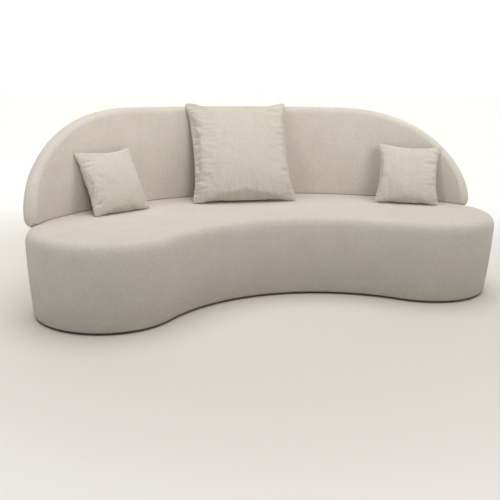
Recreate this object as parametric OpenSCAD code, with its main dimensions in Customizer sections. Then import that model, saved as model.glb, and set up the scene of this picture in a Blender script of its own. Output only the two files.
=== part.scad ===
// Curved sofa: kidney-shaped upholstered base, arched back and three loose cushions.
// Millimetres. +X is the length, +Y the back, +Z up, Z = 0 is the floor.

/* [Overall] */
// Length of the base
overall_length = 2300;  // [1900:10:2600]
// Height of the seat above the floor
seat_height = 392;  // [370:1:430]
// Height of the back above the seat
back_height = 483;  // [400:1:540]

/* [Outline] */
// Radius of the two rounded ends
lobe_radius = 347;  // [320:1:380]
// Radius of the long curve at the back
back_radius = 1394;  // [1300:1:1550]
// Radius of the hollow curve at the front
front_radius = 781;  // [700:1:900]
// How far the sides draw in from the widest level to the floor
side_taper = 18;  // [10:1:24]
// Height of the rounded edge of the seat
crown_height = 65;  // [45:1:80]
// Width of the rounded edge of the seat
crown_width = 50;  // [35:1:60]

/* [Back] */
// Thickness of the back
back_thickness = 64;  // [60:1:76]
// Distance along the curve from the middle of the back to either end
back_half_length = 1365;  // [1200:1:1400]
// How far the back stands out past the outline at seat level
back_overhang = 17;  // [10:1:24]
// Part of the back's length at full height
back_level_part = 0.42;  // [0.2:0.01:0.7]
// How square the shoulders of the arch are
arch_power = 2.31;  // [1.6:0.01:3]
// How steeply the arch ends
arch_end_power = 1.58;  // [1.2:0.01:2.2]
// Lean of the back, degrees
back_lean = 4.15;  // [0:0.05:8]

/* [Upholstery] */
// Thickness of the cover cloth
cloth = 2;  // [1:0.5:3]
// Gap left between two curved layers
layer_gap = 0.4;  // [0.3:0.1:0.6]
// Gap between the back's underside and the rounded edge it sits over
saddle_gap = 1.8;  // [1:0.1:3]
// Inset at which the wadding under the cover ends
wadding_depth = 9.6;  // [7:0.1:10]

/* [Cushions] */
// Side of the large cushion
large_size = 560;  // [500:1:600]
// Side of the small cushions
small_size = 330;  // [300:1:400]
// Thickness of the large cushion
large_thickness = 150;  // [110:1:170]
// Thickness of the small cushions
small_thickness = 104;  // [80:1:120]

/* [Hidden] */
$fn = 48;

// Radius of the rounded top edge of the back
edge_radius = 26;

// Arc centres and joining angles of the outline
lobe_x = overall_length / 2 - lobe_radius;
back_centre = -sqrt(pow(back_radius - lobe_radius, 2) - pow(lobe_x, 2));
front_centre = -sqrt(pow(front_radius + lobe_radius, 2) - pow(lobe_x, 2));
back_angle = atan2(lobe_x, -back_centre);
front_angle = atan2(lobe_x, -front_centre);
back_arc_half = back_radius * back_angle * PI / 180;
back_lean_run = tan(back_lean);
// Everything is moved so that the middle of the whole depth is at Y = 0
back_most = back_centre + back_radius + back_overhang
  + (back_height - edge_radius) * back_lean_run;
front_most = min([for (p = kidney(0)) p[1]]);
shift_y = -(back_most + front_most) / 2;

// Levels
hem_level = 10;
board_level = 40;
board_thickness = 12;
ring_level = 264;
deck_level = 282;
webbing_thickness = 2;
crown_level = seat_height - crown_height;
skin_inset = 48;
frame_inset = skin_inset + 4 + layer_gap;
foot_places = [[-803, -190], [803, -190], [-803, 210], [803, 210], [0, 150], [0, 560]];
support_places = [-1160, -840, -420, 0, 420, 840, 1160];
support_width = 40;
rib_places = [-1250, -1000, -630, -210, 210, 630, 1000, 1250];

// ---- outline -------------------------------------------------------------

function arc(x, y, radius, from, to, steps) =
  [for (i = [0 : steps - 1])
    let (a = from + (to - from) * i / steps) [x + radius * sin(a), y + radius * cos(a)]];

// The outline from its right end over the back to its left end and along the front:
// point k of the back stands opposite point 100 - k of the front
function kidney(inset) = concat(
  arc(lobe_x, 0, lobe_radius - inset, 90, back_angle, 5),
  arc(0, back_centre, back_radius - inset, back_angle, -back_angle, 40),
  arc(-lobe_x, 0, lobe_radius - inset, -back_angle, -90, 5),
  arc(-lobe_x, 0, lobe_radius - inset, -90, -180 - front_angle, 17),
  arc(0, front_centre, front_radius + inset, -front_angle, front_angle, 16),
  arc(lobe_x, 0, lobe_radius - inset, 180 + front_angle, 90, 17));

function ring(inset, z) = [for (p = kidney(inset)) [p[0], p[1] + shift_y, z]];

// Inset of the side at a level, and the points of the rounded edge above it
function side_inset(z) = side_taper * max(0, 1 - (z - 15) / (crown_level - 15));

function crown_rings(depth, steps) =
  [for (i = [1 : steps])
    ring(crown_width - (crown_width - depth) * cos(90 * i / steps),
      crown_level + (crown_height - depth) * sin(90 * i / steps))];

function crown_z(inset) = inset >= crown_width ? seat_height :
  crown_level + crown_height
    * sqrt(max(0, 1 - pow((crown_width - inset) / crown_width, 2)));

function backwards(list) = [for (i = [len(list) - 1 : -1 : 0]) list[i]];

// A solid through a row of rings of equal length, each counter-clockwise from above
module loft(rings, closed = false) {
  n = len(rings[0]);
  m = len(rings);
  sides = [for (i = [0 : closed ? m - 1 : m - 2], j = [0 : n - 1])
    let (a = i * n + j, b = i * n + (j + 1) % n,
      c = ((i + 1) % m) * n + j, d = ((i + 1) % m) * n + (j + 1) % n)
    each [[a, c, d], [a, d, b]]];
  cap = [for (k = [0 : n / 2 - 1])
    each concat(k < n / 2 - 1 ? [[k, k + 1, n - k - 1]] : [],
      k > 0 ? [[k, n - k - 1, n - k]] : [])];
  ends = closed ? [] :
    concat(cap, [for (f = cap) [for (v = [2, 1, 0]) f[v] + (m - 1) * n]]);
  polyhedron(points = [for (r = rings) each r], faces = concat(sides, ends), convexity = 8);
}

module slab(inset, from, to) {
  translate([0, shift_y, from])
    linear_extrude(to - from)
      polygon(kidney(inset));
}

module band(outer, inner, from, to) {
  translate([0, shift_y, from])
    linear_extrude(to - from)
      difference() {
        polygon(kidney(outer));
        polygon(kidney(inner));
      }
}

// ---- places along the outline --------------------------------------------

// Point and outward direction at a distance along the back's curve from its middle
function turn(s) = sign(s) * (abs(s) < back_arc_half ? abs(s) / back_radius * 180 / PI :
  back_angle + (abs(s) - back_arc_half) / lobe_radius * 180 / PI);

function wall_point(s, t, z) =
  let (a = turn(s), out = back_overhang - t + (z - seat_height) * back_lean_run,
    long = abs(s) < back_arc_half,
    radius = (long ? back_radius : lobe_radius) + out,
    x = long ? 0 : sign(s) * lobe_x, y = long ? back_centre : 0)
  [x + radius * sin(a), y + radius * cos(a) + shift_y, z];

// Local frame: X along the curve, Y outward, at an inset from the outline
module at_back(s, inset) {
  p = wall_point(s, inset + back_overhang, seat_height);
  translate([p[0], p[1], 0])
    rotate([0, 0, -turn(s)])
      children();
}

module at_lobe(side, a, inset) {
  translate([side * (lobe_x + (lobe_radius - inset) * sin(a)),
    (lobe_radius - inset) * cos(a) + shift_y, 0])
    rotate([0, 0, -side * a])
      children();
}

module at_bay(a, inset) {
  translate([(front_radius + inset) * sin(a),
    front_centre + (front_radius + inset) * cos(a) + shift_y, 0])
    rotate([0, 0, -a])
      children();
}

// ---- feet and base frame -------------------------------------------------

module at_feet() {
  for (p = foot_places)
    translate([p[0], p[1] + shift_y, 0])
      children();
}

module foot_glides() {
  color([0.25, 0.25, 0.26])
    at_feet()
      cylinder(d = 46, h = 4);
}

module feet() {
  color([0.45, 0.32, 0.2])
    at_feet()
      difference() {
        translate([0, 0, 4])
          cylinder(d = 60, h = board_level - 4);
        cylinder(d = 10.6, h = 100);
        cylinder(d = 22, h = 12);
      }
}

module foot_bolts() {
  color([0.7, 0.7, 0.72])
    at_feet() {
      translate([0, 0, 5])
        cylinder(d = 20, h = 7);
      translate([0, 0, 12])
        cylinder(d = 10, h = 46);
    }
}

module foot_tee_nuts() {
  color([0.6, 0.6, 0.62])
    at_feet()
      difference() {
        union() {
          translate([0, 0, board_level + board_thickness])
            cylinder(d = 26, h = 1.6);
          translate([0, 0, board_level + 2])
            cylinder(d = 13, h = board_thickness - 2);
        }
        cylinder(d = 10.4, h = 100);
      }
}

module base_dust_cover() {
  color([0.2, 0.2, 0.21])
    difference() {
      slab(frame_inset + 37, board_level - 0.6, board_level);
      at_feet()
        cylinder(d = 62, h = 100);
    }
}

module base_skirt_rail() {
  color([0.78, 0.64, 0.45])
    band(frame_inset, frame_inset + 36, hem_level + cloth + layer_gap, board_level);
}

module base_bottom_board() {
  color([0.8, 0.68, 0.5])
    difference() {
      slab(frame_inset, board_level, board_level + board_thickness);
      at_feet()
        cylinder(d = 13.6, h = 100);
    }
}

module at_posts() {
  for (s = support_places)
    at_back(s, 84.5)
      children();
  for (side = [-1, 1], a = [115, 165])
    at_lobe(side, a, 84.5)
      children();
  for (a = [-22, 22])
    at_bay(a, 84.5)
      children();
}

// Bolt lines through a back post, for the steel bars that carry the back
module at_bolts() {
  for (s = support_places, z = [110, 200])
    at_back(s, 0)
      translate([0, 0, z])
        rotate([90, 0, 0])
          children();
}

module base_posts() {
  color([0.76, 0.62, 0.43])
    difference() {
      at_posts()
        translate([-22.5, -22.5, board_level + board_thickness])
          cube([45, 45, ring_level - board_level - board_thickness]);
      at_bolts()
        cylinder(d = 8.6, h = 130);
    }
}

module base_cross_rails() {
  color([0.76, 0.62, 0.43])
    for (x = [-610, -215, 215, 610])
      translate([0, shift_y, ring_level - 40])
        linear_extrude(40)
          intersection() {
            polygon(kidney(frame_inset + 8));
            translate([x - 15, -600])
              square([30, 1500]);
          }
}

module base_top_ring() {
  color([0.8, 0.68, 0.5])
    difference() {
      band(frame_inset, 145, ring_level, deck_level);
      for (s = support_places)
        bar_room(s, 1.5);
    }
}

module base_skin() {
  color([0.5, 0.38, 0.26])
    band(skin_inset, skin_inset + 4, hem_level + cloth + layer_gap, deck_level);
}

module seat_webbing() {
  color([0.85, 0.8, 0.7])
    translate([0, shift_y, deck_level])
      linear_extrude(webbing_thickness)
        intersection() {
          polygon(kidney(frame_inset + 14));
          for (i = [-8 : 8])
            translate([i * 122 - 30, -600])
              square([60, 1500]);
        }
}

// ---- base upholstery -----------------------------------------------------

module base_side_foam() {
  low = hem_level + cloth + layer_gap + 1.6;
  top = deck_level + webbing_thickness;
  color([0.93, 0.87, 0.62])
    loft([ring(skin_inset - layer_gap, top), ring(skin_inset - layer_gap, low),
      ring(side_inset(low) + wadding_depth + layer_gap, low),
      ring(side_inset(top) + wadding_depth + layer_gap, top)], true);
}

module seat_foam() {
  depth = wadding_depth + layer_gap;
  low = deck_level + webbing_thickness + layer_gap;
  color([0.93, 0.87, 0.62])
    difference() {
      loft(concat([ring(side_inset(low) + depth, low), ring(depth, crown_level)],
        crown_rings(depth, 6)));
      for (s = support_places)
        bar_room(s, 1.2);
    }
}

module base_wadding() {
  low = 26;
  outer = cloth + layer_gap;
  color([0.97, 0.97, 0.95])
    difference() {
      loft(concat(
        backwards(crown_rings(wadding_depth, 6)),
        [ring(wadding_depth, crown_level), ring(side_inset(low) + wadding_depth, low),
          ring(side_inset(low) + outer, low), ring(outer, crown_level)],
        crown_rings(outer, 6)));
      for (s = support_places)
        bar_room(s, 1.2);
    }
}

module base_cover() {
  low = hem_level + cloth;
  color([0.84, 0.8, 0.74])
    difference() {
      loft(concat(
        backwards(crown_rings(cloth, 6)),
        [ring(cloth, crown_level), ring(side_inset(24) + cloth, 24),
          ring(side_inset(15) + 3 + cloth, 16), ring(side_inset(15) + 8, low),
          ring(frame_inset + 24, low), ring(frame_inset + 24, hem_level),
          ring(side_inset(15) + 8, hem_level), ring(side_inset(15) + 3, 14),
          ring(side_inset(22), 22), ring(0, crown_level)],
        crown_rings(0, 6)));
      for (s = support_places)
        bar_room(s, 1.2);
    }
}

// ---- back ----------------------------------------------------------------

// Height of the arch over the seat for a back drawn in by a depth at its edge
function arch(s, depth) =
  let (k = max(0, (abs(s) / (back_half_length - depth) - back_level_part)
    / (1 - back_level_part)))
  (back_height - depth) * pow(max(0, 1 - pow(k, arch_power)), 1 / arch_end_power);

function stations(half, count) = [for (i = [-count : count]) half * sin(90 * i / count)];

// Section of the whole back at one station, drawn in by a depth
function back_section(s, depth) =
  let (half = back_half_length - 2.5 * depth,
    v = min(1, max(0, (abs(s) - half + 30) / 30)),
    pinch = 26 * (1 - sqrt(1 - v * v)),
    rise = 26 * (1 - sqrt(1 - v * v)),
    t0 = depth + pinch, t1 = back_thickness - depth - pinch,
    low = saddle_gap + depth + rise,
    top = max(arch(s, depth), rise + 6 - depth),
    foot = min(20 + rise, top - 2.5), r = min(edge_radius - depth, (top - foot) * 0.9,
      (t1 - t0) / 2.1),
    hip = min(34, t0 + (t1 - t0) * 0.55))
  concat(
    [for (i = [0 : 4]) let (t = t1 + (hip - t1) * i / 4)
      [t, min(crown_z(t - back_overhang) - seat_height + low, foot)]],
    [for (a = [30, 60, 90])
      let (base = crown_z(hip - back_overhang) - seat_height + low, h = max(0, foot - base))
      [hip - (hip - t0) * sin(a), foot - h * cos(a)]],
    [for (a = [0, 30, 60, 90]) [t0 + r * (1 - cos(a)), top - r * (1 - sin(a))]],
    [for (a = [90, 60, 30, 0]) [t1 - r * (1 - cos(a)), top - r * (1 - sin(a))]]);

function back_ring(s, section) =
  [for (p = section) wall_point(s, p[0], seat_height + p[1])];

module back_solid(depth) {
  loft([for (s = stations(back_half_length - 2.5 * depth, 24))
    back_ring(s, back_section(s, depth))]);
}

// A strip inside the back: a rectangle of two depths and two heights at each station
module back_strip(half, t0, t1, low, high, count = 24) {
  loft([for (s = stations(half, count))
    let (z0 = is_num(low) ? low : arch(s, 30) + low[0], z1 = arch(s, 30) + high)
    back_ring(s, [[t1, z0], [t0, z0], [t0, z1], [t1, z1]])]);
}

module back_level_strip(half, t0, t1, low, high) {
  loft([for (s = stations(half, 24))
    back_ring(s, [[t1, low], [t0, low], [t0, high], [t1, high]])]);
}

// Section of a steel bar: up inside the frame, out through the seat foam, up the back
module bar_section(room) {
  t = 31.5 - back_overhang;
  line = [[59.3, 70], [59.3, 288], [t, seat_height + 10],
    [t - 240 * back_lean_run, seat_height + 250]];
  ends = [-room, 0, 0, room];
  polygon(concat(
    [for (i = [0 : 3]) [-line[i][0] - 2.5 - room, line[i][1] + ends[i]]],
    [for (i = [3 : -1 : 0]) [-line[i][0] + 2.5 + room, line[i][1] + ends[i]]]));
}

module bar(s, room) {
  at_back(s, 0)
    rotate([90, 0, 90])
      translate([0, 0, -support_width / 2 - room])
        linear_extrude(support_width + 2 * room)
          bar_section(room);
}

module bar_room(s, room) {
  bar(s, room);
}

module back_support_bars() {
  color([0.55, 0.56, 0.58])
    difference() {
      for (s = support_places)
        bar(s, 0);
      at_bolts()
        cylinder(d = 8.6, h = 130);
    }
}

module back_support_bolts() {
  color([0.7, 0.7, 0.72])
    at_bolts() {
      translate([0, 0, 53])
        cylinder(d = 16, h = 3.6);
      translate([0, 0, 56.6])
        cylinder(d = 8, h = 62);
    }
}

module back_support_nuts() {
  color([0.62, 0.62, 0.64])
    at_bolts()
      difference() {
        translate([0, 0, 107.3])
          cylinder(d = 15, h = 8, $fn = 6);
        cylinder(d = 8.3, h = 130);
      }
}

module back_bottom_board() {
  color([0.8, 0.68, 0.5])
    back_level_strip(1290, 13.4, 28.2, 26, 44);
}

module back_ribs() {
  color([0.76, 0.62, 0.43])
    for (s = concat(support_places, rib_places))
      let (w = 15, top = min(arch(abs(s) + w, 30), arch(abs(s), 30)) - 46)
        loft([for (e = [s - w, s + w])
          back_ring(e, [[28.2, 45], [13.6, 45], [13.6, top], [28.2, top]])]);
}

module back_arch_rail() {
  color([0.76, 0.62, 0.43])
    back_strip(1290, 13.4, 28.2, [-42], -4);
}

module back_inner_panel() {
  color([0.72, 0.6, 0.42])
    back_strip(1305, 34.8, 37.8, 26, -2);
}

module back_outer_panel() {
  color([0.72, 0.6, 0.42])
    back_strip(1305, 8.6, 12.4, 26, -2);
}

module back_foam() {
  color([0.93, 0.87, 0.62])
    difference() {
      back_solid(cloth + 1);
      back_strip(1318, -30, 38.6, 24, 5);
      for (s = support_places)
        bar_room(s, 1.2);
    }
}

module back_rear_wadding() {
  color([0.97, 0.97, 0.95])
    back_strip(1305, 2.6, 8.2, 28, -3);
}

module back_cover() {
  color([0.84, 0.8, 0.74])
    difference() {
      back_solid(0);
      back_solid(cloth);
      for (s = support_places)
        bar_room(s, 1.2);
    }
}

// ---- cushions ------------------------------------------------------------

// Local frame of a cushion: X across, Y to its rear face, Z up from the bottom corners
module place(pose) {
  translate([pose[0], pose[1] + shift_y,
    seat_height + 1.2 + pose[5] / 2 * sin(abs(pose[4]))])
    rotate([0, 0, pose[2]])
      rotate([-pose[3], 0, 0])
        rotate([0, -pose[4], 0])
          translate([0, 0, pose[5] / 2])
            children();
}

large_pose = [-14, 414, -3.8, 26.4, 0, large_size];
left_pose = [-680, 290, 28, 29.5, 0, small_size];
right_pose = [804, 170, -27.4, 28, -1.5, small_size];

pull = 0.06;

function pillow_point(half, thick, u, v, side) =
  [half * u * (1 - pull * (1 - v * v)),
    side * thick / 2 * pow(max(0, (1 - u * u) * (1 - v * v)), 0.45),
    half * v * (1 - pull * (1 - u * u))];

// A knife-edge pillow of two bulged faces that share their rim
module pillow(half, thick, n = 12) {
  steps = [for (i = [0 : n]) sin(180 * (i / n) - 90)];
  front = [for (j = [0 : n], i = [0 : n]) pillow_point(half, thick, steps[i], steps[j], -1)];
  back = [for (j = [1 : n - 1], i = [1 : n - 1])
    pillow_point(half, thick, steps[i], steps[j], 1)];
  first = (n + 1) * (n + 1);
  function front_at(i, j) = j * (n + 1) + i;
  function back_at(i, j) = (i == 0 || j == 0 || i == n || j == n) ? front_at(i, j) :
    first + (j - 1) * (n - 1) + i - 1;
  // Each square is cut from the side of its nearest corner, so no triangle lies on the rim
  function halves(a, b, c, d, i, j) = (i < n / 2) == (j < n / 2) ?
    [[a, c, b], [a, d, c]] : [[a, d, b], [b, d, c]];
  function flipped(list) = [for (f = list) [f[0], f[2], f[1]]];
  polyhedron(points = concat(front, back), convexity = 4, faces = concat(
    [for (j = [0 : n - 1], i = [0 : n - 1])
      each halves(front_at(i, j), front_at(i + 1, j), front_at(i + 1, j + 1),
        front_at(i, j + 1), i, j)],
    [for (j = [0 : n - 1], i = [0 : n - 1])
      each flipped(halves(back_at(i, j), back_at(i + 1, j), back_at(i + 1, j + 1),
        back_at(i, j + 1), i, j))]));
}

module cushion_cover(size, thick) {
  seam = -size / 2 * (1 - pull);
  color([0.85, 0.81, 0.75])
    difference() {
      pillow(size / 2, thick);
      pillow(size / 2 - 7, thick - 2 * cloth - 2);
      translate([-size * 0.21 - 0.3, -1.8, seam - 20])
        cube([size * 0.42 + 0.6, 3.6, 24.8]);
    }
}

module cushion_filling(size, thick) {
  color([0.98, 0.98, 0.97])
    pillow(size / 2 - 10, thick - 2 * cloth - 4);
}

module cushion_zip(size) {
  seam = -size / 2 * (1 - pull);
  color([0.8, 0.77, 0.71])
    translate([-size * 0.21, -1.5, seam - 5])
      cube([size * 0.42, 3, 9.5]);
}

module cushion_zip_slider(size) {
  seam = -size / 2 * (1 - pull);
  color([0.7, 0.68, 0.64])
    difference() {
      translate([size * 0.21 - 14, -4, seam - 7])
        cube([12, 8, 4.4]);
      translate([-size / 2, -1.8, seam - 5.3])
        cube([size, 3.6, 20]);
    }
}

module large_cushion_filling() {
  place(large_pose) cushion_filling(large_size, large_thickness);
}

module large_cushion_cover() {
  place(large_pose) cushion_cover(large_size, large_thickness);
}

module large_cushion_zip() {
  place(large_pose) cushion_zip(large_size);
}

module large_cushion_zip_slider() {
  place(large_pose) cushion_zip_slider(large_size);
}

module left_cushion_filling() {
  place(left_pose) cushion_filling(small_size, small_thickness);
}

module left_cushion_cover() {
  place(left_pose) cushion_cover(small_size, small_thickness);
}

module left_cushion_zip() {
  place(left_pose) cushion_zip(small_size);
}

module left_cushion_zip_slider() {
  place(left_pose) cushion_zip_slider(small_size);
}

module right_cushion_filling() {
  place(right_pose) cushion_filling(small_size, small_thickness);
}

module right_cushion_cover() {
  place(right_pose) cushion_cover(small_size, small_thickness);
}

module right_cushion_zip() {
  place(right_pose) cushion_zip(small_size);
}

module right_cushion_zip_slider() {
  place(right_pose) cushion_zip_slider(small_size);
}

foot_glides();
feet();
foot_bolts();
foot_tee_nuts();
base_dust_cover();
base_skirt_rail();
base_bottom_board();
base_posts();
base_cross_rails();
base_top_ring();
base_skin();
seat_webbing();
base_side_foam();
seat_foam();
base_wadding();
base_cover();
back_support_bars();
back_support_bolts();
back_support_nuts();
back_bottom_board();
back_ribs();
back_arch_rail();
back_inner_panel();
back_outer_panel();
back_foam();
back_rear_wadding();
back_cover();
large_cushion_filling();
large_cushion_cover();
large_cushion_zip();
large_cushion_zip_slider();
left_cushion_filling();
left_cushion_cover();
left_cushion_zip();
left_cushion_zip_slider();
right_cushion_filling();
right_cushion_cover();
right_cushion_zip();
right_cushion_zip_slider();
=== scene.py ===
import math
import random

import bpy
from mathutils import Matrix, Quaternion, Vector, noise


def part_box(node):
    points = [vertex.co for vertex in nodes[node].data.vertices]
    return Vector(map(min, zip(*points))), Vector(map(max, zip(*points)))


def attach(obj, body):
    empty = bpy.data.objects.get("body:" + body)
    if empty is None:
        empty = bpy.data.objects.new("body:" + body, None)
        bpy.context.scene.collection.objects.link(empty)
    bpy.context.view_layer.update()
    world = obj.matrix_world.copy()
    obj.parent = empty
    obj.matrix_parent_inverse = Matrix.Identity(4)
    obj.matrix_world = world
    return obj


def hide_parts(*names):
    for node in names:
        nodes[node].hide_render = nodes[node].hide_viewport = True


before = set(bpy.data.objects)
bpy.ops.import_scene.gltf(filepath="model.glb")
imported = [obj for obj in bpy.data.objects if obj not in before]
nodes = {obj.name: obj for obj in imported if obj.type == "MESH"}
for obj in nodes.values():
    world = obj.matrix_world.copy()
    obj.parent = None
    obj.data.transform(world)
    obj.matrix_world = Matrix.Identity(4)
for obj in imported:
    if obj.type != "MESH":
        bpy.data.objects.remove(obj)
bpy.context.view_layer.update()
scene = bpy.context.scene
print("frame loaded:", len(nodes), "parts")


outline = {
    "length": 2.3,
    "endRadius": 0.347,
    "backRadius": 1.394,
    "frontRadius": 0.781,
    "frontFootY": -0.22,
}
endX = outline["length"] / 2 - outline["endRadius"]
backY = -math.sqrt((outline["backRadius"] - outline["endRadius"]) ** 2 - endX**2)
frontY = -math.sqrt((outline["frontRadius"] + outline["endRadius"]) ** 2 - endX**2)
backAngle = math.atan2(endX, -backY)
frontAngle = math.atan2(endX, -frontY)
backArcHalf = outline["backRadius"] * backAngle
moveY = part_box("feet")[0].y - outline["frontFootY"]  # the outline's own zero, moved to the frame's
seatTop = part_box("base_cover")[1].z


def makeStations(count):
    # each station is (centre x, centre y, radius, sense, angle); angles turn from +Y to +X
    arcs = [
        (0, backY, outline["backRadius"], 1, backAngle, -backAngle),
        (-endX, 0, outline["endRadius"], 1, -backAngle, -math.pi - frontAngle),
        (0, frontY, outline["frontRadius"], -1, -frontAngle, frontAngle),
        (endX, 0, outline["endRadius"], 1, math.pi + frontAngle, backAngle),
    ]
    lengths = [arc[2] * abs(arc[5] - arc[4]) for arc in arcs]
    total = sum(lengths)
    stations = []
    for i in range(count):
        along = total * i / count
        for arc, length in zip(arcs, lengths):
            if along <= length:
                angle = arc[4] + (arc[5] - arc[4]) * along / length
                stations.append((arc[0], arc[1], arc[2], arc[3], angle))
                break
            along -= length
    return stations


def stationPoint(station, inset, z):
    x, y, radius, sense, angle = station
    reach = radius - sense * inset
    return Vector((x + reach * math.sin(angle), y + reach * math.cos(angle) + moveY, z))


def stationOutward(station):
    return Vector((math.sin(station[4]), math.cos(station[4]), 0)) * station[3]


def ease(x, low, high):
    t = min(1, max(0, (x - low) / (high - low)))
    return t * t * (3 - 2 * t)


def addMesh(name, verts, faces, smooth=True):
    mesh = bpy.data.meshes.new(name)
    mesh.from_pydata([tuple(v) for v in verts], [], faces)
    mesh.update()
    if smooth:
        mesh.shade_smooth()
    obj = bpy.data.objects.new(name, mesh)
    scene.collection.objects.link(obj)
    return obj


def gridFaces(rows, columns, closed=False):
    faces = []
    for i in range(rows - 1):
        for j in range(columns if closed else columns - 1):
            k = (j + 1) % columns
            faces.append((i * columns + j, i * columns + k, (i + 1) * columns + k, (i + 1) * columns + j))
    return faces


def newTree(material):
    material.use_nodes = True
    tree = material.node_tree
    tree.nodes.clear()
    return tree


def addNode(tree, kind, settings=None, **values):
    node = tree.nodes.new(kind)
    for key, value in (settings or {}).items():
        setattr(node, key, value)
    for key, value in values.items():
        node.inputs[key].default_value = value
    return node


def join(tree, *pairs):
    for source, outName, target, inName in pairs:
        tree.links.new(source.outputs[outName], target.inputs[inName])


def newGroup(name, inputs, outputs):
    group = bpy.data.node_groups.new(name, "ShaderNodeTree")
    for label, kind, value in inputs:
        socket = group.interface.new_socket(name=label, in_out="INPUT", socket_type=kind)
        socket.default_value = value
    for label, kind in outputs:
        group.interface.new_socket(name=label, in_out="OUTPUT", socket_type=kind)
    return group, group.nodes.new("NodeGroupInput"), group.nodes.new("NodeGroupOutput")


def makeNubGroup():
    # looped yarn: small round nubs of uneven size over a slower change of tone; the shade put out is the nub height
    # itself, so colour taken from it is partly painted shade between the nubs
    group, start, end = newGroup(
        "loopedYarn",
        [("nubs per metre", "NodeSocketFloat", 230.0), ("patches per metre", "NodeSocketFloat", 9.0)],
        [("shade", "NodeSocketFloat"), ("height", "NodeSocketFloat"), ("patch", "NodeSocketFloat")],
    )
    coords = addNode(group, "ShaderNodeTexCoord")
    bend = addNode(group, "ShaderNodeTexNoise", Scale=150.0, Detail=2.0)
    shift = addNode(group, "ShaderNodeVectorMath", {"operation": "SCALE"}, Scale=0.006)
    moved = addNode(group, "ShaderNodeVectorMath", {"operation": "ADD"})
    nubs = addNode(group, "ShaderNodeTexVoronoi", {"feature": "SMOOTH_F1"}, Smoothness=0.35)
    fine = addNode(group, "ShaderNodeTexNoise", Detail=4.0, Roughness=0.7)
    double = addNode(group, "ShaderNodeMath", {"operation": "MULTIPLY"})
    double.inputs[1].default_value = 2.2
    flip = addNode(group, "ShaderNodeMapRange")
    flip.inputs["From Max"].default_value = 0.75
    flip.inputs["To Min"].default_value = 1.0
    flip.inputs["To Max"].default_value = 0.0
    mix = addNode(group, "ShaderNodeMix", {"data_type": "FLOAT"})
    mix.inputs[0].default_value = 0.38
    patch = addNode(group, "ShaderNodeTexNoise", Detail=3.0, Roughness=0.55)
    join(
        group,
        (coords, "Object", bend, "Vector"),
        (bend, "Color", shift, 0),
        (coords, "Object", moved, 0),
        (shift, 0, moved, 1),
        (moved, 0, nubs, "Vector"),
        (start, "nubs per metre", nubs, "Scale"),
        (coords, "Object", fine, "Vector"),
        (start, "nubs per metre", double, 0),
        (double, 0, fine, "Scale"),
        (nubs, "Distance", flip, "Value"),
        (flip, "Result", mix, 2),
        (fine, "Fac", mix, 3),
        (coords, "Object", patch, "Vector"),
        (start, "patches per metre", patch, "Scale"),
        (mix, 0, end, "shade"),
        (mix, 0, end, "height"),
        (patch, "Fac", end, "patch"),
    )
    return group


def makeGrainGroup():
    # long fibres along one axis with darker late rings
    group, start, end = newGroup(
        "sawnGrain",
        [("rings per metre", "NodeSocketFloat", 60.0), ("stretch", "NodeSocketVector", (1.0, 12.0, 12.0))],
        [("tone", "NodeSocketFloat"), ("height", "NodeSocketFloat")],
    )
    coords = addNode(group, "ShaderNodeTexCoord")
    scale = addNode(group, "ShaderNodeVectorMath", {"operation": "MULTIPLY"})
    rings = addNode(group, "ShaderNodeTexNoise", Detail=6.0, Roughness=0.6, Distortion=0.6)
    fibres = addNode(group, "ShaderNodeTexNoise", Scale=160.0, Detail=3.0)
    third = addNode(group, "ShaderNodeMath", {"operation": "MULTIPLY"})
    third.inputs[1].default_value = 0.12
    join(
        group,
        (coords, "Object", scale, 0),
        (start, "stretch", scale, 1),
        (scale, 0, rings, "Vector"),
        (start, "rings per metre", third, 0),
        (third, 0, rings, "Scale"),
        (scale, 0, fibres, "Vector"),
        (rings, "Fac", end, "tone"),
        (fibres, "Fac", end, "height"),
    )
    return group


nubGroup = makeNubGroup()
grainGroup = makeGrainGroup()


def rampNode(tree, stops):
    ramp = addNode(tree, "ShaderNodeValToRGB")
    ramp.color_ramp.elements[0].position, ramp.color_ramp.elements[0].color = stops[0][0], (*stops[0][1], 1)
    ramp.color_ramp.elements[1].position, ramp.color_ramp.elements[1].color = stops[-1][0], (*stops[-1][1], 1)
    for position, color in stops[1:-1]:
        ramp.color_ramp.elements.new(position).color = (*color, 1)
    return ramp


def clothMaterial(name, look):
    material = bpy.data.materials.new(name)
    tree = newTree(material)
    yarn = addNode(tree, "ShaderNodeGroup", {"node_tree": nubGroup})
    yarn.inputs["nubs per metre"].default_value = look["nubs"]
    yarn.inputs["patches per metre"].default_value = look["patches"]
    # tone follows the nub height: darker in the low places between nubs and lighter on the nub tops, painted shade
    # over the yarn's own random tone
    tone = rampNode(tree, [(0.18, look["shadow"]), (0.62, look["body"]), (0.95, look["light"])])
    drift = rampNode(tree, [(0.3, (0.93, 0.92, 0.91)), (0.7, (1.0, 1.0, 1.0))])
    blend = addNode(tree, "ShaderNodeMix", {"data_type": "RGBA", "blend_type": "MULTIPLY"})
    blend.inputs[0].default_value = look["patchStrength"]
    bump = addNode(tree, "ShaderNodeBump", Strength=look["bump"], Distance=look["depth"])
    shader = addNode(tree, "ShaderNodeBsdfPrincipled", Roughness=look["roughness"])
    shader.inputs["Sheen Weight"].default_value = look["sheen"]
    shader.inputs["Sheen Roughness"].default_value = 0.6
    shader.inputs["Sheen Tint"].default_value = (1.0, 0.96, 0.9, 1)
    shader.inputs["Specular IOR Level"].default_value = 0.15
    out = addNode(tree, "ShaderNodeOutputMaterial")
    join(
        tree,
        (yarn, "shade", tone, 0),
        (yarn, "patch", drift, 0),
        (tone, 0, blend, 6),
        (drift, 0, blend, 7),
        (blend, 2, shader, "Base Color"),
        (yarn, "height", bump, "Height"),
        (bump, 0, shader, "Normal"),
        (shader, 0, out, 0),
    )
    return material


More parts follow.
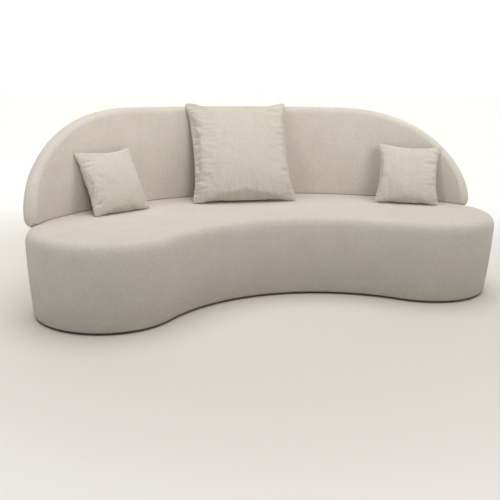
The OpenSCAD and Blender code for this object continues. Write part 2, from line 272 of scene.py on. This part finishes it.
def woodMaterial(name, look):
    material = bpy.data.materials.new(name)
    tree = newTree(material)
    grain = addNode(tree, "ShaderNodeGroup", {"node_tree": grainGroup})
    grain.inputs["rings per metre"].default_value = look["rings"]
    grain.inputs["stretch"].default_value = look["stretch"]
    tone = rampNode(tree, [(0.3, look["dark"]), (0.5, look["body"]), (0.72, look["light"])])
    bump = addNode(tree, "ShaderNodeBump", Strength=0.25, Distance=0.0006)
    shader = addNode(tree, "ShaderNodeBsdfPrincipled", Roughness=look["roughness"])
    shader.inputs["Coat Weight"].default_value = look["coat"]
    out = addNode(tree, "ShaderNodeOutputMaterial")
    join(
        tree,
        (grain, "tone", tone, 0),
        (tone, 0, shader, "Base Color"),
        (grain, "height", bump, "Height"),
        (bump, 0, shader, "Normal"),
        (shader, 0, out, 0),
    )
    return material


def speckledMaterial(name, look):
    # foam cells, fibres, zinc, paint or moulded plastic: one noise drives tone, roughness and relief
    material = bpy.data.materials.new(name)
    tree = newTree(material)
    coords = addNode(tree, "ShaderNodeTexCoord")
    speck = addNode(tree, "ShaderNodeTexNoise", Scale=look["scale"], Detail=4.0, Roughness=0.65)
    tone = rampNode(tree, [(0.35, look["dark"]), (0.65, look["light"])])
    rough = addNode(tree, "ShaderNodeMapRange")
    rough.inputs["To Min"].default_value = look["roughness"] - 0.08
    rough.inputs["To Max"].default_value = look["roughness"] + 0.08
    bump = addNode(tree, "ShaderNodeBump", Strength=look["bump"], Distance=0.001)
    shader = addNode(tree, "ShaderNodeBsdfPrincipled")
    shader.inputs["Metallic"].default_value = look["metal"]
    out = addNode(tree, "ShaderNodeOutputMaterial")
    join(
        tree,
        (coords, "Object", speck, "Vector"),
        (speck, "Fac", tone, 0),
        (tone, 0, shader, "Base Color"),
        (speck, "Fac", rough, "Value"),
        (rough, "Result", shader, "Roughness"),
        (speck, "Fac", bump, "Height"),
        (bump, 0, shader, "Normal"),
        (shader, 0, out, 0),
    )
    return material


coverLook = {
    "nubs": 290.0,
    "patches": 7.0,
    "shadow": (0.585, 0.545, 0.48),
    "body": (0.715, 0.68, 0.615),
    "light": (0.775, 0.745, 0.685),
    "patchStrength": 0.7,
    "bump": 0.85,
    "depth": 0.0021,
    "roughness": 0.92,
    "sheen": 0.25,
}
cushionLook = dict(coverLook, nubs=330.0, shadow=(0.53, 0.495, 0.43), body=(0.65, 0.617, 0.552),
                   light=(0.71, 0.68, 0.62), depth=0.0013)
clothCover = clothMaterial("creamLoopedCloth", coverLook)
clothCushion = clothMaterial("creamCushionCloth", cushionLook)

pine = {"rings": 55.0, "stretch": (12.0, 12.0, 1.0), "dark": (0.42, 0.27, 0.13), "body": (0.6, 0.43, 0.24),
        "light": (0.7, 0.53, 0.32), "roughness": 0.6, "coat": 0.0}
ply = dict(pine, rings=30.0, stretch=(1.0, 9.0, 30.0), body=(0.62, 0.46, 0.28), light=(0.72, 0.57, 0.37))
beech = dict(pine, rings=70.0, dark=(0.2, 0.1, 0.045), body=(0.29, 0.16, 0.075), light=(0.36, 0.21, 0.1),
             roughness=0.38, coat=0.4)
board = dict(pine, rings=200.0, stretch=(3.0, 3.0, 3.0), dark=(0.17, 0.1, 0.055), body=(0.22, 0.14, 0.08),
             light=(0.27, 0.17, 0.1), roughness=0.55)
woodPine = woodMaterial("sawnPine", pine)
woodPly = woodMaterial("birchPly", ply)
woodBeech = woodMaterial("stainedBeech", beech)
woodBoard = woodMaterial("pressedBoard", board)

foamLook = {"scale": 420.0, "dark": (0.72, 0.62, 0.33), "light": (0.86, 0.78, 0.5), "roughness": 0.85,
            "bump": 0.6, "metal": 0.0}
foam = speckledMaterial("cutFoam", foamLook)
fibre = speckledMaterial("fluffyFibre", dict(foamLook, scale=90.0, dark=(0.8, 0.8, 0.78), light=(0.92, 0.92, 0.9)))
webbing = speckledMaterial("wovenElastic", dict(foamLook, scale=300.0, dark=(0.5, 0.46, 0.38),
                                                light=(0.7, 0.66, 0.56)))
zinc = speckledMaterial("zincSteel", dict(foamLook, scale=120.0, dark=(0.5, 0.5, 0.52), light=(0.66, 0.66, 0.68),
                                          roughness=0.36, bump=0.1, metal=1.0))
greyPaint = speckledMaterial("greyPaint", dict(foamLook, scale=260.0, dark=(0.06, 0.062, 0.068),
                                               light=(0.085, 0.088, 0.095), roughness=0.45, bump=0.12))
nylon = speckledMaterial("glideNylon", dict(foamLook, scale=500.0, dark=(0.03, 0.03, 0.032),
                                            light=(0.05, 0.05, 0.052), roughness=0.5, bump=0.15))
dustCloth = speckledMaterial("nonWoven", dict(foamLook, scale=700.0, dark=(0.012, 0.012, 0.013),
                                              light=(0.03, 0.03, 0.032), roughness=0.9, bump=0.5))
zipPlastic = speckledMaterial("zipCoil", dict(foamLook, scale=900.0, dark=(0.5, 0.46, 0.39), light=(0.66, 0.62, 0.54),
                                              roughness=0.5, bump=0.4))
sliderPaint = speckledMaterial("zipSliderPaint", dict(foamLook, scale=400.0, dark=(0.42, 0.39, 0.34),
                                                      light=(0.5, 0.47, 0.41), roughness=0.35, bump=0.1))

finishes = {
    woodPine: ["base_skirt_rail", "base_posts", "base_cross_rails", "back_ribs", "back_arch_rail"],
    woodPly: ["base_bottom_board", "base_top_ring", "back_bottom_board", "back_inner_panel", "back_outer_panel"],
    woodBoard: ["base_skin"],
    woodBeech: ["feet"],
    foam: ["base_side_foam", "seat_foam", "back_foam"],
    fibre: ["base_wadding", "back_rear_wadding"],
    webbing: ["seat_webbing"],
    zinc: ["foot_bolts", "foot_tee_nuts", "back_support_bolts", "back_support_nuts"],
    greyPaint: ["back_support_bars"],
    nylon: ["foot_glides"],
    dustCloth: ["base_dust_cover"],
}
for side in ("large", "left", "right"):
    finishes.setdefault(zipPlastic, []).append(side + "_cushion_zip")
    finishes.setdefault(sliderPaint, []).append(side + "_cushion_zip_slider")
for material, names in finishes.items():
    for name in names:
        nodes[name].data.materials.clear()
        nodes[name].data.materials.append(material)
print("materials made")


base = {
    "columns": 560,
    "taper": 0.018,
    "crownHeight": 0.065,
    "crownWidth": 0.05,
    "edgeFullness": 0.82,
    "hemLevel": 0.010,
    "hemInset": 0.0758,
    "footInset": 0.010,
    "footHeight": 0.012,
    "sideHollow": 0.0035,
    "unevenness": 0.0012,
    "seatUnevenness": 0.0006,
}


def baseProfile():
    # (inset, level) from the hem's inner edge, round the side and over to the middle of the seat
    crownLevel = seatTop - base["crownHeight"]
    hem, foot = base["hemLevel"], base["taper"]
    points = [(base["hemInset"], hem + 0.0022), (base["hemInset"] + 0.0004, hem + 0.0004)]
    points += [(inset, hem) for inset in (0.07, 0.05, 0.034)]
    for i in range(1, 7):
        a = math.radians(90 * i / 6)
        points.append((foot + base["footInset"] * (1 - math.sin(a)), hem + base["footHeight"] * (1 - math.cos(a))))
    sideStart = hem + base["footHeight"]
    for i in range(1, 19):
        t = i / 18
        z = sideStart + (crownLevel - sideStart) * t
        points.append((foot * (1 - t) - base["sideHollow"] * math.sin(math.pi * t), z))
    for i in range(1, 15):
        a = math.radians(90 * i / 14)
        level = crownLevel + base["crownHeight"] * math.sin(a) ** base["edgeFullness"]
        points.append((base["crownWidth"] * (1 - max(0, math.cos(a)) ** base["edgeFullness"]), level))
    points += [(x, seatTop) for x in (0.062, 0.078, 0.1, 0.13, 0.165, 0.2, 0.235, 0.265, 0.29, 0.31, 0.325, 0.335)]
    return points


def rightEndStation(stations):
    return max(range(len(stations)), key=lambda i: stationPoint(stations[i], 0.1, 0).x)


def makeBaseCover():
    stations = makeStations(base["columns"])
    profile = baseProfile()
    verts = []
    for inset, z in profile:
        for station in stations:
            p = stationPoint(station, inset, z)
            side = ease(z, 0.012, 0.06) * (1 - ease(inset, 0.03, 0.06))
            bulge = noise.noise(p * 3.1) + 0.5 * noise.noise(p * 9.0 + Vector((4, 1, 7)))
            p += stationOutward(station) * base["unevenness"] * bulge * side
            if inset > 0.04 and z > 0.3:
                dip = 1 + noise.noise(p * 4.0 + Vector((0, 3, 9)))
                p.z -= base["seatUnevenness"] * dip * ease(inset, 0.04, 0.12)
            verts.append(p)
    columns = len(stations)
    faces = gridFaces(len(profile), columns, closed=True)
    # the last ring is a thin crescent; opposite points are joined across it
    last = (len(profile) - 1) * columns
    middle = columns // 2
    start = rightEndStation(stations)
    ring = [last + (start + i) % columns for i in range(columns)]
    for i in range(middle):
        a, b = ring[i], ring[(i + 1) % columns]
        c, d = ring[(columns - i - 1) % columns], ring[(columns - i) % columns]
        face = []
        for v in (a, b, c, d):
            if v not in face:
                face.append(v)
        if len(face) > 2:
            faces.append(tuple(face))
    return addMesh("baseCover", verts, faces)


baseCover = makeBaseCover()
baseCover.data.materials.append(clothCover)
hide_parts("base_cover")
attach(baseCover, "sofa")
print("base cover made")


back = {
    "rows": 300,
    "thickness": 0.064,
    "halfLength": 1.365,
    "overhang": 0.017,
    "height": 0.483,
    "levelPart": 0.42,
    "archPower": 2.31,
    "endPower": 1.58,
    "lean": math.tan(math.radians(4.15)),
    "edgeDepth": 0.031,
    "edgeHeight": 0.033,
    "puff": 0.0025,
    "taperLength": 0.034,  # over this length at each end the back thins and lifts
    "taperDepth": 0.029,
    "taperRise": 0.028,
    "hipDepth": 0.034,
    "hipHeight": 0.02,
    "cornerRadius": 0.006,
    "saddleGap": 0.0008,
    "unevenness": 0.001,
}


def turnAt(s):
    a = abs(s)
    if a < backArcHalf:
        turn = a / outline["backRadius"]
    else:
        turn = backAngle + (a - backArcHalf) / outline["endRadius"]
    return math.copysign(turn, s)


def backPoint(s, depth, z):
    # a point of the back at a distance along its curve, a depth in from its outer face, and a level
    turn = turnAt(s)
    out = back["overhang"] - depth + (z - seatTop) * back["lean"]
    if abs(s) < backArcHalf:
        x, y, radius = 0, backY, outline["backRadius"] + out
    else:
        x, y, radius = math.copysign(endX, s), 0, outline["endRadius"] + out
    return Vector((x + radius * math.sin(turn), y + radius * math.cos(turn) + moveY, z))


def archTop(s):
    k = max(0, (abs(s) / back["halfLength"] - back["levelPart"]) / (1 - back["levelPart"]))
    return back["height"] * max(0, 1 - k ** back["archPower"]) ** (1 / back["endPower"])


def crownAt(inset):
    if inset >= base["crownWidth"]:
        return 0
    w = (base["crownWidth"] - inset) / base["crownWidth"]
    return base["crownHeight"] * (math.sqrt(max(0, 1 - w * w)) - 1)


def backSection(s):
    # closed run of (depth, height over the seat), from the seat-side bottom corner under the back and round
    taper, gap, corner = back["taperLength"], back["saddleGap"], back["cornerRadius"]
    v = min(1, max(0, (abs(s) - back["halfLength"] + taper) / taper))
    draw = 1 - math.sqrt(max(0, 1 - v * v))
    t0, t1 = back["taperDepth"] * draw, back["thickness"] - back["taperDepth"] * draw
    rise = back["taperRise"] * draw
    top = max(archTop(s), rise + corner)
    foot = min(back["hipHeight"] + rise, top - 0.0025)
    r = min(back["edgeDepth"], (t1 - t0) / 2.04)
    fall = min(back["edgeHeight"], (top - foot) * 0.9)
    hip = min(back["hipDepth"], t0 + (t1 - t0) * 0.55)
    small = min(corner, (top - foot) * 0.3, (t1 - t0) * 0.2)
    low = min(crownAt(t1 - back["overhang"]) + gap + rise, foot)
    points = []
    for i in range(5):
        a = math.radians(90 * i / 4)
        points.append((t1 - small * (1 - math.cos(a)), low + small * (1 - math.sin(a))))
    for i in range(1, 6):
        t = t1 - small + (hip - t1 + small) * i / 5
        points.append((t, min(crownAt(t - back["overhang"]) + gap + rise, foot)))
    hipLevel = points[-1][1]
    for i in range(1, 8):
        a = math.radians(90 * i / 7)
        points.append((hip - (hip - t0) * math.sin(a), foot - max(0, foot - hipLevel) * math.cos(a)))
    for i in range(1, 10):
        w = i / 10
        puff = back["puff"] * math.sin(math.pi * w) * min(1, (top - foot) / 0.2)
        points.append((t0 - puff, foot + (top - fall - foot) * w))
    for i in range(11):
        a = math.radians(90 * i / 10)
        points.append((t0 + r * (1 - math.cos(a)), top - fall * (1 - math.sin(a))))
    for i in range(11):
        a = math.radians(90 - 90 * i / 10)
        points.append((t1 - r * (1 - math.cos(a)), top - fall * (1 - math.sin(a))))
    for i in range(1, 12):
        w = i / 12
        puff = 0.6 * back["puff"] * math.sin(math.pi * w) * min(1, (top - foot) / 0.2)
        points.append((t1 + puff, top - fall - (top - fall - low - small) * w))
    return points


def makeBackCover():
    rows = []
    for i in range(back["rows"] + 1):
        s = back["halfLength"] * math.sin(math.pi * (i / back["rows"] - 0.5))
        row = []
        for depth, height in backSection(s):
            p = backPoint(s, depth, seatTop + height)
            q = backPoint(s, depth - 0.01, seatTop + height)
            lift = ease(height, 0.01, 0.08)
            swell = noise.noise(p * 3.4 + Vector((1, 8, 2))) + 0.5 * noise.noise(p * 8.0)
            p += (q - p).normalized() * back["unevenness"] * swell * lift
            row.append(p)
        rows.append(row)
    count = len(rows[0])
    verts = [p for row in rows for p in row]
    faces = gridFaces(len(rows), count, closed=True)
    faces = [tuple(reversed(face)) for face in faces]
    faces.append(tuple(range(count)))
    faces.append(tuple(reversed(range(len(verts) - count, len(verts)))))
    return addMesh("backCover", verts, faces)


backCover = makeBackCover()
backCover.data.materials.append(clothCover)
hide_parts("back_cover")
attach(backCover, "sofa")
print("back cover made")


cushionPlaces = {  # x and y in the outline's own frame, then degrees and metres
    "large": {"x": -0.014, "y": 0.414, "turn": -3.8, "lean": 26.4, "roll": 0, "size": 0.56, "thick": 0.134,
              "squares": 76, "seed": 5, "slump": 0.1, "swell": 0.018, "frames": 14,
              "gatherDepth": 0.05, "gatherReach": 0.055, "gathers": {"left": 1.2, "bottom": 0.75, "right": 0.75}},
    "left": {"x": -0.68, "y": 0.29, "turn": 28, "lean": 29.5, "roll": 0, "size": 0.33, "thick": 0.092,
             "squares": 54, "seed": 12, "slump": 0.08, "swell": 0.012, "frames": 12,
             "gatherDepth": 0.036, "gatherReach": 0.036, "gathers": {"left": 1.2, "bottom": 0.9}},
    "right": {"x": 0.804, "y": 0.17, "turn": -27.4, "lean": 28, "roll": -1.5, "size": 0.33, "thick": 0.092,
              "squares": 54, "seed": 23, "slump": 0.08, "swell": 0.012, "frames": 12,
              "gatherDepth": 0.036, "gatherReach": 0.036, "gathers": {"right": 1.3, "bottom": 0.9}},
}
cushionForm = {
    "pull": 0.06,  # how far the sides draw in between the corners, as a part of half the side
    "fullness": 0.62,
    "rumple": 0.005,
    "seamWave": 0.0016,
    "seamWidth": 0.006,
    "clearance": 0.002,
    "pressure": 3.0,
    "stretchStiffness": 30,
    "shearStiffness": 10,
    "bendStiffness": 1,
}


def pillowMesh(name, look):
    # two crowned layers that share a knife-edge seam
    count, half, seed = look["squares"], look["size"] / 2, look["seed"]
    rng = random.Random(seed)
    steps = [0.35 * math.sin(math.pi * (i / count - 0.5)) + 0.65 * (2 * i / count - 1) for i in range(count + 1)]
    verts, index, labels = [], {}, []
    for layer in (0, 1):
        for j, v in enumerate(steps):
            for i, u in enumerate(steps):
                rim = i in (0, count) or j in (0, count)
                if layer and rim:
                    index[1, i, j] = index[0, i, j]
                    continue
                dome = max(0, (1 - u * u) * (1 - v * v)) ** cushionForm["fullness"]
                y = look["thick"] / 2 * dome * (1 - look["slump"] * v)
                if not rim:
                    y += cushionForm["rumple"] * dome * noise.noise(Vector((2.2 * u + seed, 2.2 * v, 4 * layer)))
                    y += rng.uniform(-0.0003, 0.0003)
                wave = cushionForm["seamWave"] * noise.noise(Vector((9 * u, 9 * v, seed))) if rim else 0
                blunt = 1 - 0.035 * (abs(u) * abs(v)) ** 14
                x = half * u * (1 - cushionForm["pull"] * (1 - v * v)) * blunt
                z = half * v * (1 - cushionForm["pull"] * (1 - u * u)) * blunt
                index[layer, i, j] = len(verts)
                labels.append((u, v, layer, 0 if rim else dome**0.3))
                verts.append((x, wave + (y if layer else -y), z))
    faces = []
    for layer in (0, 1):
        for j in range(count):
            for i in range(count):
                corners = ((i, j), (i + 1, j), (i + 1, j + 1), (i, j + 1))
                face = [index[(layer, *corner)] for corner in corners]
                faces.append(tuple(reversed(face)) if layer else tuple(face))
    return addMesh(name, verts, faces), labels


def gathers(u, v, layer, look):
    # relief of the small folds that start at the seam and die out over a few centimetres
    half, total = look["size"] / 2, 0
    for across, along, sense in ((u, v, 0), (v, u, 1)):
        away = half * (1 - abs(across))
        sideName = ("right" if across > 0 else "left") if sense == 0 else ("top" if across > 0 else "bottom")
        strength = look["gathers"].get(sideName, 0.5)
        fade = math.exp(-away / look["gatherReach"]) * (1 - math.exp(-away / cushionForm["seamWidth"]))
        fade *= 1 - abs(along) ** 9  # none right in the corners
        lane = 5.3 * sense + 2.7 * (across > 0) + 3 * layer
        broad = noise.noise(Vector((along * half * 24 + look["seed"], lane, away * 9)))
        crease = 0.35 - abs(noise.noise(Vector((along * half * 46 - look["seed"], lane, away * 14)))) * 1.6
        total += strength * look["gatherDepth"] * (0.45 * broad + 0.85 * crease) * fade
    return total


def inflate(obj, look):
    rest = [v.co.copy() for v in obj.data.vertices]
    cloth = obj.modifiers.new("filling", "CLOTH")
    values = cloth.settings
    values.quality = 6
    values.mass = 0.3
    values.tension_stiffness = cushionForm["stretchStiffness"]
    values.compression_stiffness = cushionForm["stretchStiffness"]
    values.shear_stiffness = cushionForm["shearStiffness"]
    values.bending_stiffness = cushionForm["bendStiffness"]
    values.use_pressure = True
    values.uniform_pressure_force = cushionForm["pressure"]
    values.effector_weights.gravity = 0
    cloth.collision_settings.use_collision = False
    for f in range(1, look["frames"] + 1):
        scene.frame_set(f)
    graph = bpy.context.evaluated_depsgraph_get()
    mesh = bpy.data.meshes.new_from_object(obj.evaluated_get(graph))
    obj.modifiers.clear()
    obj.data = mesh
    scene.frame_set(1)
    for v, start in zip(mesh.vertices, rest):
        move = v.co - start
        if move.length > look["swell"]:
            v.co = start + move * (look["swell"] / move.length)


def wallGap(p):
    # clearance of a point from the back's seat-side face, and the way back towards the seat
    y = p.y - moveY
    face = back["overhang"] - back["thickness"] + (p.z - seatTop) * back["lean"]
    a = math.atan2(abs(p.x), y - backY)
    if a < backAngle:
        away = Vector((p.x, y - backY, 0))
        gap = outline["backRadius"] + face - away.length
        s = a * outline["backRadius"]
    else:
        away = Vector((p.x - math.copysign(endX, p.x), y, 0))
        gap = outline["endRadius"] + face - away.length
        turn = math.atan2(abs(p.x) - endX, y)
        s = backArcHalf + (turn - backAngle) * outline["endRadius"]
    if p.z - seatTop > archTop(s) - 0.01:
        return 1.0, away
    return gap, -away.normalized()


def makeCushion(side, look):
    obj, labels = pillowMesh(side + "CushionCover", look)
    inflate(obj, look)
    half = look["size"] / 2
    co = [v.co.copy() for v in obj.data.vertices]
    for c, (u, v, layer, share) in zip(co, labels):
        c.y += (1 if layer else -1) * share * gathers(u, v, layer, look)
    # the corners and the bottom seam come back to the places that the zip needs
    spanX = (max(c.x for c in co) - min(c.x for c in co)) / 2
    top, bottom = max(c.z for c in co), min(c.z for c in co)
    near = [c.z for c in co if abs(c.x) < 0.2 * half and c.z < -0.8 * half and abs(c.y) < 0.004]
    for c in co:
        c.x *= half / spanX
        c.z = (c.z - bottom) / (top - bottom) * 2 * half - half
    level = [(z - bottom) / (top - bottom) * 2 * half - half for z in near]
    drop = -half * (1 - cushionForm["pull"]) - sum(level) / max(1, len(level))
    for c in co:
        c.z += drop * ease(-c.z / half, 0.2, 0.95) * (1 - ease(abs(c.x) / half, 0.55, 0.95))
    standing = seatTop + 0.0012 + half * math.sin(abs(math.radians(look["roll"])))
    place = (
        Matrix.Translation((look["x"], look["y"] + moveY, standing))
        @ Matrix.Rotation(math.radians(look["turn"]), 4, "Z")
        @ Matrix.Rotation(math.radians(-look["lean"]), 4, "X")
        @ Matrix.Rotation(math.radians(-look["roll"]), 4, "Y")
        @ Matrix.Translation((0, 0, half))
    )
    for v, c in zip(obj.data.vertices, co):
        p = place @ c
        gap, inward = wallGap(p)
        if gap < cushionForm["clearance"]:
            p += inward * (cushionForm["clearance"] - gap)
        p.z = max(p.z, seatTop + 0.0008)
        v.co = p
    soften = obj.modifiers.new("soften", "SUBSURF")
    soften.levels = soften.render_levels = 1
    graph = bpy.context.evaluated_depsgraph_get()
    mesh = bpy.data.meshes.new_from_object(obj.evaluated_get(graph))
    obj.modifiers.clear()
    obj.data = mesh
    mesh.shade_smooth()
    mesh.materials.clear()
    mesh.materials.append(clothCushion)
    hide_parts(side + "_cushion_cover", side + "_cushion_filling")
    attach(obj, side + "_cushion")
    print(side, "cushion made, bottom seam moved by", round(drop, 4))


for side, look in cushionPlaces.items():
    makeCushion(side, look)


studio = {
    "floorShadeNear": (0.69, 0.66, 0.62),
    "floorFar": (0.97, 0.97, 0.96),
    "floorShadeReach": (1.2, 3.2),  # metres from the middle over which the painted shade round the sofa fades to the pale far floor
    "roomFront": 0.1,
    "roomBack": 1.1,
    "wallDirection": (0.31, 0.95, 0),
    "wallFade": (0.5, 0.88),
    "sunStrength": 2.7,
    "sunWidth": 70,
    "frontPower": 6.2,
    "frontSpread": 36,
    "leftPower": 6,
    "endPower": 0.75,
    "endSpread": 24,
}


def makeFloor():
    floor = addMesh("floor", [(-30, -30, 0), (30, -30, 0), (30, 30, 0), (-30, 30, 0)], [(0, 1, 2, 3)], smooth=False)
    material = bpy.data.materials.new("paleFloorPaintedShade")
    tree = newTree(material)
    coords = addNode(tree, "ShaderNodeTexCoord")
    reach = addNode(tree, "ShaderNodeVectorMath", {"operation": "LENGTH"})
    fade = addNode(tree, "ShaderNodeMapRange", {"interpolation_type": "SMOOTHSTEP"})
    fade.inputs["From Min"].default_value, fade.inputs["From Max"].default_value = studio["floorShadeReach"]
    # painted shade: the floor's colour is darker round the sofa and pales to near white further off
    tone = rampNode(tree, [(0, studio["floorShadeNear"]), (1, studio["floorFar"])])
    shader = addNode(tree, "ShaderNodeBsdfPrincipled", Roughness=0.9)
    out = addNode(tree, "ShaderNodeOutputMaterial")
    join(
        tree,
        (coords, "Object", reach, 0),
        (reach, "Value", fade, "Value"),
        (fade, 0, tone, 0),
        (tone, 0, shader, "Base Color"),
        (shader, 0, out, 0),
    )
    floor.data.materials.append(material)


def makeWorld():
    world = bpy.data.worlds.new("studio")
    scene.world = world
    world.use_nodes = True
    world.node_tree.nodes.clear()
    # a pale wall behind the sofa, falling off towards the rest of the room
    coords = addNode(world.node_tree, "ShaderNodeTexCoord")
    facing = addNode(world.node_tree, "ShaderNodeVectorMath", {"operation": "DOT_PRODUCT"})
    facing.inputs[1].default_value = studio["wallDirection"]
    fade = addNode(world.node_tree, "ShaderNodeMapRange", {"interpolation_type": "SMOOTHSTEP"})
    fade.inputs["From Min"].default_value, fade.inputs["From Max"].default_value = studio["wallFade"]
    fade.inputs["To Min"].default_value = studio["roomFront"]
    fade.inputs["To Max"].default_value = studio["roomBack"]
    light = addNode(world.node_tree, "ShaderNodeBackground", Color=(1, 1, 1, 1))
    # what is seen past the floor is plain and pale all round
    plain = addNode(world.node_tree, "ShaderNodeBackground", Color=(1, 1, 1, 1), Strength=studio["roomBack"])
    path = addNode(world.node_tree, "ShaderNodeLightPath")
    seen = addNode(world.node_tree, "ShaderNodeMixShader")
    out = addNode(world.node_tree, "ShaderNodeOutputWorld")
    join(
        world.node_tree,
        (coords, "Generated", facing, 0),
        (facing, "Value", fade, "Value"),
        (fade, 0, light, "Strength"),
        (path, "Is Camera Ray", seen, 0),
        (light, 0, seen, 1),
        (plain, 0, seen, 2),
        (seen, 0, out, 0),
    )


def addSoftbox(name, place, target, size, power, color):
    data = bpy.data.lights.new(name, "AREA")
    data.shape = "RECTANGLE"
    data.size, data.size_y = size
    data.energy = power
    data.color = color
    lamp = bpy.data.objects.new(name, data)
    lamp.location = place
    lamp.rotation_euler = (Vector(target) - Vector(place)).to_track_quat("-Z", "Y").to_euler()
    scene.collection.objects.link(lamp)
    return lamp


def addSun():
    data = bpy.data.lights.new("topLight", "SUN")
    data.energy = studio["sunStrength"]
    data.angle = math.radians(studio["sunWidth"])
    data.color = (1.0, 0.98, 0.95)
    lamp = bpy.data.objects.new("topLight", data)
    lamp.rotation_euler = Vector((-0.04, 0.01, -1)).to_track_quat("-Z", "Y").to_euler()
    scene.collection.objects.link(lamp)


def makeCamera():
    view = {"place": (-1.2024, -3.3, 1.0641), "yaw": 18.12, "pitch": 14.66, "roll": 0.89,
            "lens": 50.97, "shiftX": 0.0257, "shiftY": 0.0127}
    yaw, pitch = math.radians(view["yaw"]), math.radians(view["pitch"])
    data = bpy.data.cameras.new("camera")
    data.lens, data.sensor_width = view["lens"], 36
    data.shift_x, data.shift_y = view["shiftX"], view["shiftY"]
    data.clip_end = 100
    camera = bpy.data.objects.new("camera", data)
    camera.location = view["place"]
    ahead = Vector((math.sin(yaw) * math.cos(pitch), math.cos(yaw) * math.cos(pitch), -math.sin(pitch)))
    turn = ahead.to_track_quat("-Z", "Y") @ Quaternion((0, 0, 1), math.radians(view["roll"]))
    camera.rotation_euler = turn.to_euler()
    scene.collection.objects.link(camera)
    scene.camera = camera


makeFloor()
makeWorld()
addSun()
front = addSoftbox("frontLight", (0.1, -3.4, 1.9), (0.1, 0.35, 1.02), (3.2, 0.5), studio["frontPower"],
                   (1.0, 0.965, 0.92))
front.data.spread = math.radians(studio["frontSpread"])
addSoftbox("leftFill", (-4.0, -1.2, 1.3), (-0.5, 0, 0.5), (2.4, 2.4), studio["leftPower"], (0.45, 0.66, 1.0))
# each end of the back gets a narrow light from across the room
for name, side in (("rightEndLight", 1), ("leftEndLight", -1)):
    end = addSoftbox(name, (-3.0 * side, -2.6, 1.8), (1.02 * side, 0.0, 0.8), (0.8, 0.5), studio["endPower"],
                     (1.0, 0.97, 0.93))
    end.data.spread = math.radians(studio["endSpread"])
scene.view_settings.view_transform = "Standard"
makeCamera()
print("studio made")
